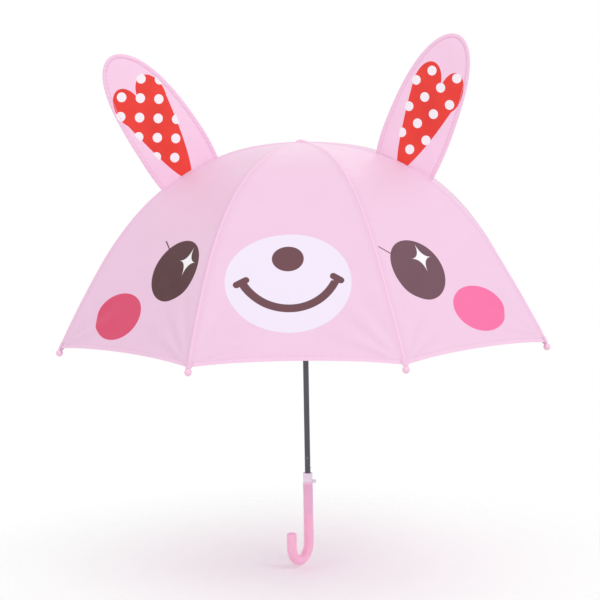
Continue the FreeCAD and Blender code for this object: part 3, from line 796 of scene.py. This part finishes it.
def earSurface(name, side):
    # A flattened tube: round each row the place across is middle + half width * cos(turn), on the front for
    # the first half turn and on the back for the second. Half width is wide * cos(phi) and height is
    # tall * sin(phi)^(2/power).
    half = earShape["columns"] // 2
    rows = np.linspace(0, 1, earShape["rows"])[:, None]
    turn = np.linspace(0, 2 * math.pi, earShape["columns"], endpoint=False)[None]
    phi = math.pi / 2 * rows ** earShape["rowPower"]
    share = np.sin(phi) ** (2 / earShape["power"])
    up = earShape["height"] * share + 0 * turn
    narrow = 1 - earShape["footNarrowing"] * np.clip(1 - up / earShape["footHeight"], 0, 1) ** 2
    wide = earShape["halfWidth"] * np.cos(phi) * narrow
    middle = earShape["baseOffset"] + earShape["tipOffset"] * share ** earShape["tipPower"]
    across = middle + wide * np.cos(turn)
    up = up + earFoot(side, across) * np.clip(1 - up / earShape["height"], 0, 1) ** 2

    flat = np.stack([across, up], -1)
    edge = np.concatenate([flat[:, 0], flat[::-1, half][1:]])
    inset = edgeDistance(flat, edge)
    facing = np.sign(np.round(np.sin(turn), 6)) + 0 * across
    made = gridMesh(name + "Cloth", earPlace(side, across, up, facing * earThickness(across, up, inset)),
                    {"cloth": flat, "edge": np.stack([inset, facing], -1)}, flip=side["front"] < 0, wrap=True)
    weld(made)

    # The wire runs in the middle of the channel: the outline moved inwards, square to itself
    ahead = np.gradient(edge, axis=0)
    ahead /= np.linalg.norm(ahead, axis=1, keepdims=True)
    path = edge + earShape["channel"] * np.stack([-ahead[:, 1], ahead[:, 0]], -1)
    path = path[path[:, 1] > earShape["wireStart"]]
    wire = carriedTube(name + "Hoop", earPlace(side, path[:, 0], path[:, 1], 0.0), earShape["wireRadius"], 8)
    return made, wire


def buildEars(wireSteel):
    for name, side in earSides.items():
        cloth, wire = earSurface(name, side)
        cloth.data.materials.append(earFinish(name + "Finish", side))
        wire.data.materials.append(wireSteel)
        start = earPlace(side, np.array(0.0), np.array(0.0), 0.0)
        end = earPlace(side, np.array(0.0), np.array(earShape["bendLength"]), 0.0)
        for made, node, slot in ((cloth, name, "ear_cloth"), (wire, name + "_wire", "wire_steel")):
            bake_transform(made)
            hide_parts(node)
    print("ears: two stitched shells on their wires")


# ---- springs

springs = {
    "mainTurns": 38, "mainRadius": 0.00262, "mainWire": 0.00042, "mainInset": 0.0005, "mainKeep": 0.14,
    "buttonTurns": 6, "buttonRadius": 0.00145, "buttonWire": 0.00022, "buttonInset": 0.0003,
    "buttonKeep": 0.78,
    "perTurn": 14,
    "endRise": 2.2, "endShare": 0.9,        # of the wire's radius, over a closed end turn
}


def coil(name, start, end, axis, kind):
    # A helix between two heights along an axis; its first and last turns are closed
    turns, radius, wire = springs[kind + "Turns"], springs[kind + "Radius"], springs[kind + "Wire"]
    start, end = start + springs[kind + "Inset"], end - springs[kind + "Inset"]
    turn = np.linspace(0, 2 * math.pi * turns, turns * springs["perTurn"])
    share = turn / turn[-1]
    closed = np.clip((share - 1.0 / turns) / (1 - 2.0 / turns), 0, 1)
    flatEnd = wire * springs["endRise"]
    ends = np.clip(share * turns, 0, 1) + np.clip((share - 1) * turns + 1, 0, 1)
    height = start + flatEnd * springs["endShare"] * ends + (end - start - 2 * flatEnd) * closed
    if axis == "z":
        path = np.stack([radius * np.cos(turn), radius * np.sin(turn), height], -1)
    else:
        centre = sum(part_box("button_spring"), Vector()) / 2
        path = np.stack([height, radius * np.cos(turn), centre.z + radius * np.sin(turn)], -1)
    return carriedTube(name, path, wire, 6)


def buildSprings(steel):
    low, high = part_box("main_spring")
    main = coil("mainSpringCoil", low.z, high.z, "z", "main")
    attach(main, "stick")
    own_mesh(main)
    low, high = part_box("button_spring")
    button = coil("buttonSpringCoil", low.x, high.x, "x", "button")
    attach(button, "stick")
    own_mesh(button)
    for made, node in ((main, "main_spring"), (button, "button_spring")):
        made.data.materials.append(steel)
        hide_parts(node)
    print("springs: two coils")


# ---- hard parts

everyRib = range(1, ribLine["count"] + 1)
steels = {
    "shaftSteel": {"light": (0.155, 0.145, 0.165), "dark": (0.085, 0.078, 0.092), "roughness": 0.20,
        "scratch": 0.10, "drawn": (1, 1, 0.02), "on": ["shaft"]},
    "ribSteel": {"light": (0.52, 0.51, 0.53), "dark": (0.36, 0.35, 0.38), "roughness": 0.28, "scratch": 0.12,
        "on": ["%s_%d" % (part, number) for number in everyRib for part in ("rib", "stretcher")]},
    "wireSteel": {"light": (0.50, 0.48, 0.48), "dark": (0.30, 0.29, 0.30), "roughness": 0.30, "scratch": 0.12,
        "on": ["crown_wire", "runner_wire", "drive_pin", "spring_seat_pin", "catch"]},
    "springSteel": {"light": (0.42, 0.41, 0.42), "dark": (0.25, 0.24, 0.26), "roughness": 0.25,
        "scratch": 0.10, "on": []},
}
plastics = {
    "tipPlastic": {"light": (0.93, 0.60, 0.76), "dark": (0.86, 0.50, 0.68), "roughness": 0.22, "coat": 0.5,
        "glow": 0.1, "on": ["rib_tip_%d" % number for number in everyRib]},
    "whitePlastic": {"light": (0.86, 0.84, 0.86), "dark": (0.78, 0.76, 0.79), "roughness": 0.30, "coat": 0.2,
        "on": ["crown", "runner"]},
    "capPlastic": {"light": (0.90, 0.56, 0.74), "dark": (0.83, 0.47, 0.66), "roughness": 0.28, "coat": 0.3,
        "on": ["cap"]},
    "handlePlastic": {"light": (0.98, 0.50, 0.70), "dark": (0.95, 0.44, 0.65), "roughness": 0.30, "coat": 0.4,
        "glow": 0.15, "on": ["handle"],
        "band": {"colour": (0.86, 0.47, 0.68), "from": -0.002, "soft": 0.004, "share": 0.75}},
    "plugPlastic": {"light": (0.97, 0.52, 0.71), "dark": (0.93, 0.46, 0.66), "roughness": 0.32, "coat": 0.3,
        "on": ["handle_end_plug"]},
    "bandPlastic": {"light": (0.95, 0.62, 0.79), "dark": (0.91, 0.55, 0.74), "roughness": 0.32, "coat": 0.2,
        "on": ["handle_band"]},
    "collarPlastic": {"light": (0.92, 0.80, 0.93), "dark": (0.87, 0.74, 0.89), "roughness": 0.34, "coat": 0.2,
        "on": ["collar"]},
    "buttonPlastic": {"light": (0.84, 0.82, 0.88), "dark": (0.77, 0.75, 0.81), "roughness": 0.25, "coat": 0.4,
        "on": ["push_button"]},
}


def steelFinish(name, look):
    # Drawn steel: fine streaks along the part, a slow change of tone and tiny scratches
    finish = Finish(name)
    drawn = look.get("drawn", (1.0, 1.0, 0.04))
    streaks = finish.node("ShaderNodeMapping", None, {"Vector": finish.place(), "Scale": drawn})
    fine = finish.noise(streaks, 2600.0, 3.0)
    slow = finish.noise(finish.place(), 38.0, 3.0)
    colour = finish.mix(look["light"], look["dark"], slow * 0.55 + fine * 0.35)
    rough = fine * look["scratch"] + slow * look["scratch"] * 0.8 + look["roughness"]
    return finish.finish(colour, rough, finish.bump(fine + slow, 0.0002, 0.25), {"Metallic": 1.0})


def plasticFinish(name, look):
    # Moulded plastic: a faint grain, cloudy tone, and gloss that changes with the grain and the tone
    finish = Finish(name)
    cloud = finish.noise(finish.place(), 30.0, 3.0)
    pits = finish.noise(finish.place(), 900.0, 3.0)
    colour = finish.mix(look["light"], look["dark"], cloud * 0.7)
    if "band" in look:
        band = look["band"]
        onBand = (finish.axes()[2] - band["from"]).within(band["soft"]) * band["share"]
        colour = finish.mix(colour, band["colour"], onBand)
    rough = pits * 0.10 + cloud * 0.10 + look["roughness"]
    constants = {"Coat Weight": look["coat"], "Coat Roughness": 0.15, "Specular IOR Level": 0.5,
                 "Subsurface Weight": look.get("glow", 0.0), "Subsurface Scale": 0.002}
    return finish.finish(colour, rough, finish.bump(pits + cloud * 2.0, 0.00015, 0.35), constants)


def paintNodes(finish, names):
    for name in names:
        node = bpy.data.objects[name]
        if node.material_slots:
            for held in node.material_slots:
                held.material = finish
        else:
            node.data.materials.append(finish)


def buildHardware():
    finishes = {name: steelFinish(name, look) for name, look in steels.items()}
    for name, look in steels.items():
        paintNodes(finishes[name], look["on"])
    for name, look in plastics.items():
        paintNodes(plasticFinish(name, look), look["on"])
    print("hardware: finishes on the CAD parts")
    return finishes["wireSteel"], finishes["springSteel"]


# ---- stage, light and camera

studio = {
    "floorHeight": -0.0765,
    "floorRadius": 3.0,
    "fadeStart": 0.02, "fadeLength": 0.55,      # the floor fades out over this much of its radius
    "aim": (0, 0, 0.3),
    "worldLight": 0.86,
    "key": {"place": (2.0, -2.4, 2.6), "size": 1.6, "watts": 34.0},
    "fill": {"place": (-2.4, -2.0, 1.4), "size": 2.2, "watts": 7.0},
    "rim": {"place": (0.4, 2.4, 2.0), "size": 1.6, "watts": 9.0},
    "cameraPlace": (0.0939, -2.7098, 0.6111),
    "pitch": 6.381,
    "turn": 2.125,
    "roll": -1.025,
    "lens": 115.0,
}


def buildFloor():
    # A pale disc that fades into the white world, so that no horizon shows
    radius = np.linspace(0, studio["floorRadius"], 24)[:, None]
    turn = np.linspace(0, 2 * math.pi, 64, endpoint=False)[None]
    points = around(turn, radius + 0 * turn, 0.0, studio["floorHeight"] + 0 * radius + 0 * turn)
    floor = gridMesh("studioFloor", points, wrap=True)
    weld(floor)
    finish = Finish("paleFloor")
    x, y, z = finish.axes()
    reach = (x * x + y * y) ** 0.5
    faded = (reach - studio["fadeStart"]) / studio["fadeLength"]
    fade = finish.node("ShaderNodeClamp", None, [faded, 0.0, 1.0])
    paper = finish.noise(finish.place(), 160.0, 3.0)
    tone = finish.mix((0.98, 0.98, 0.98), (0.96, 0.96, 0.96), paper)
    matt = finish.node("ShaderNodeBsdfPrincipled", None, {"Base Color": tone, "Roughness": 0.8})
    clear = finish.node("ShaderNodeBsdfTransparent", None)
    out = finish.tree.nodes.new("ShaderNodeOutputMaterial")
    blend = finish.node("ShaderNodeMixShader", None, [fade, matt, clear])
    finish.tree.links.new(blend.link, out.inputs["Surface"])
    floor.data.materials.append(finish.material)


def buildLight(name, light):
    lamp = bpy.data.lights.new(name, "AREA")
    lamp.shape = "DISK"
    lamp.size = light["size"]
    lamp.energy = light["watts"]
    made = bpy.data.objects.new(name, lamp)
    made.location = light["place"]
    made.rotation_euler = (Vector(studio["aim"]) - made.location).to_track_quat("-Z", "Y").to_euler()
    bpy.context.scene.collection.objects.link(made)


def buildStudio():
    buildFloor()
    for name in ("key", "fill", "rim"):
        buildLight(name + "Light", studio[name])
    scene = bpy.context.scene
    world = bpy.data.worlds.new("studioWorld")
    world.use_nodes = True
    nodes, links = world.node_tree.nodes, world.node_tree.links
    nodes.clear()
    lit = nodes.new("ShaderNodeBackground")
    lit.inputs["Strength"].default_value = studio["worldLight"]
    shown = nodes.new("ShaderNodeBackground")
    rays = nodes.new("ShaderNodeLightPath")
    choose = nodes.new("ShaderNodeMixShader")
    out = nodes.new("ShaderNodeOutputWorld")
    for background in (lit, shown):
        background.inputs["Color"].default_value = (1.0, 1.0, 1.0, 1.0)
    shown.inputs["Strength"].default_value = 1.0
    links.new(rays.outputs["Is Camera Ray"], choose.inputs[0])
    links.new(lit.outputs[0], choose.inputs[1])
    links.new(shown.outputs[0], choose.inputs[2])
    links.new(choose.outputs[0], out.inputs["Surface"])
    scene.world = world
    scene.view_settings.view_transform = "Standard"
    eye = bpy.data.cameras.new("mainCamera")
    eye.lens = studio["lens"]
    camera = bpy.data.objects.new("mainCamera", eye)
    camera.matrix_world = (Matrix.Translation(studio["cameraPlace"])
                           @ Matrix.Rotation(math.radians(studio["turn"]), 4, "Z")
                           @ Matrix.Rotation(math.radians(90 - studio["pitch"]), 4, "X")
                           @ Matrix.Rotation(math.radians(studio["roll"]), 4, "Z"))
    scene.collection.objects.link(camera)
    scene.camera = camera
    print("studio: floor, lights and camera")


buildCanopy()
buildTrim()
wireSteel, springSteel = buildHardware()
buildEars(wireSteel)
buildSprings(springSteel)
buildStudio()
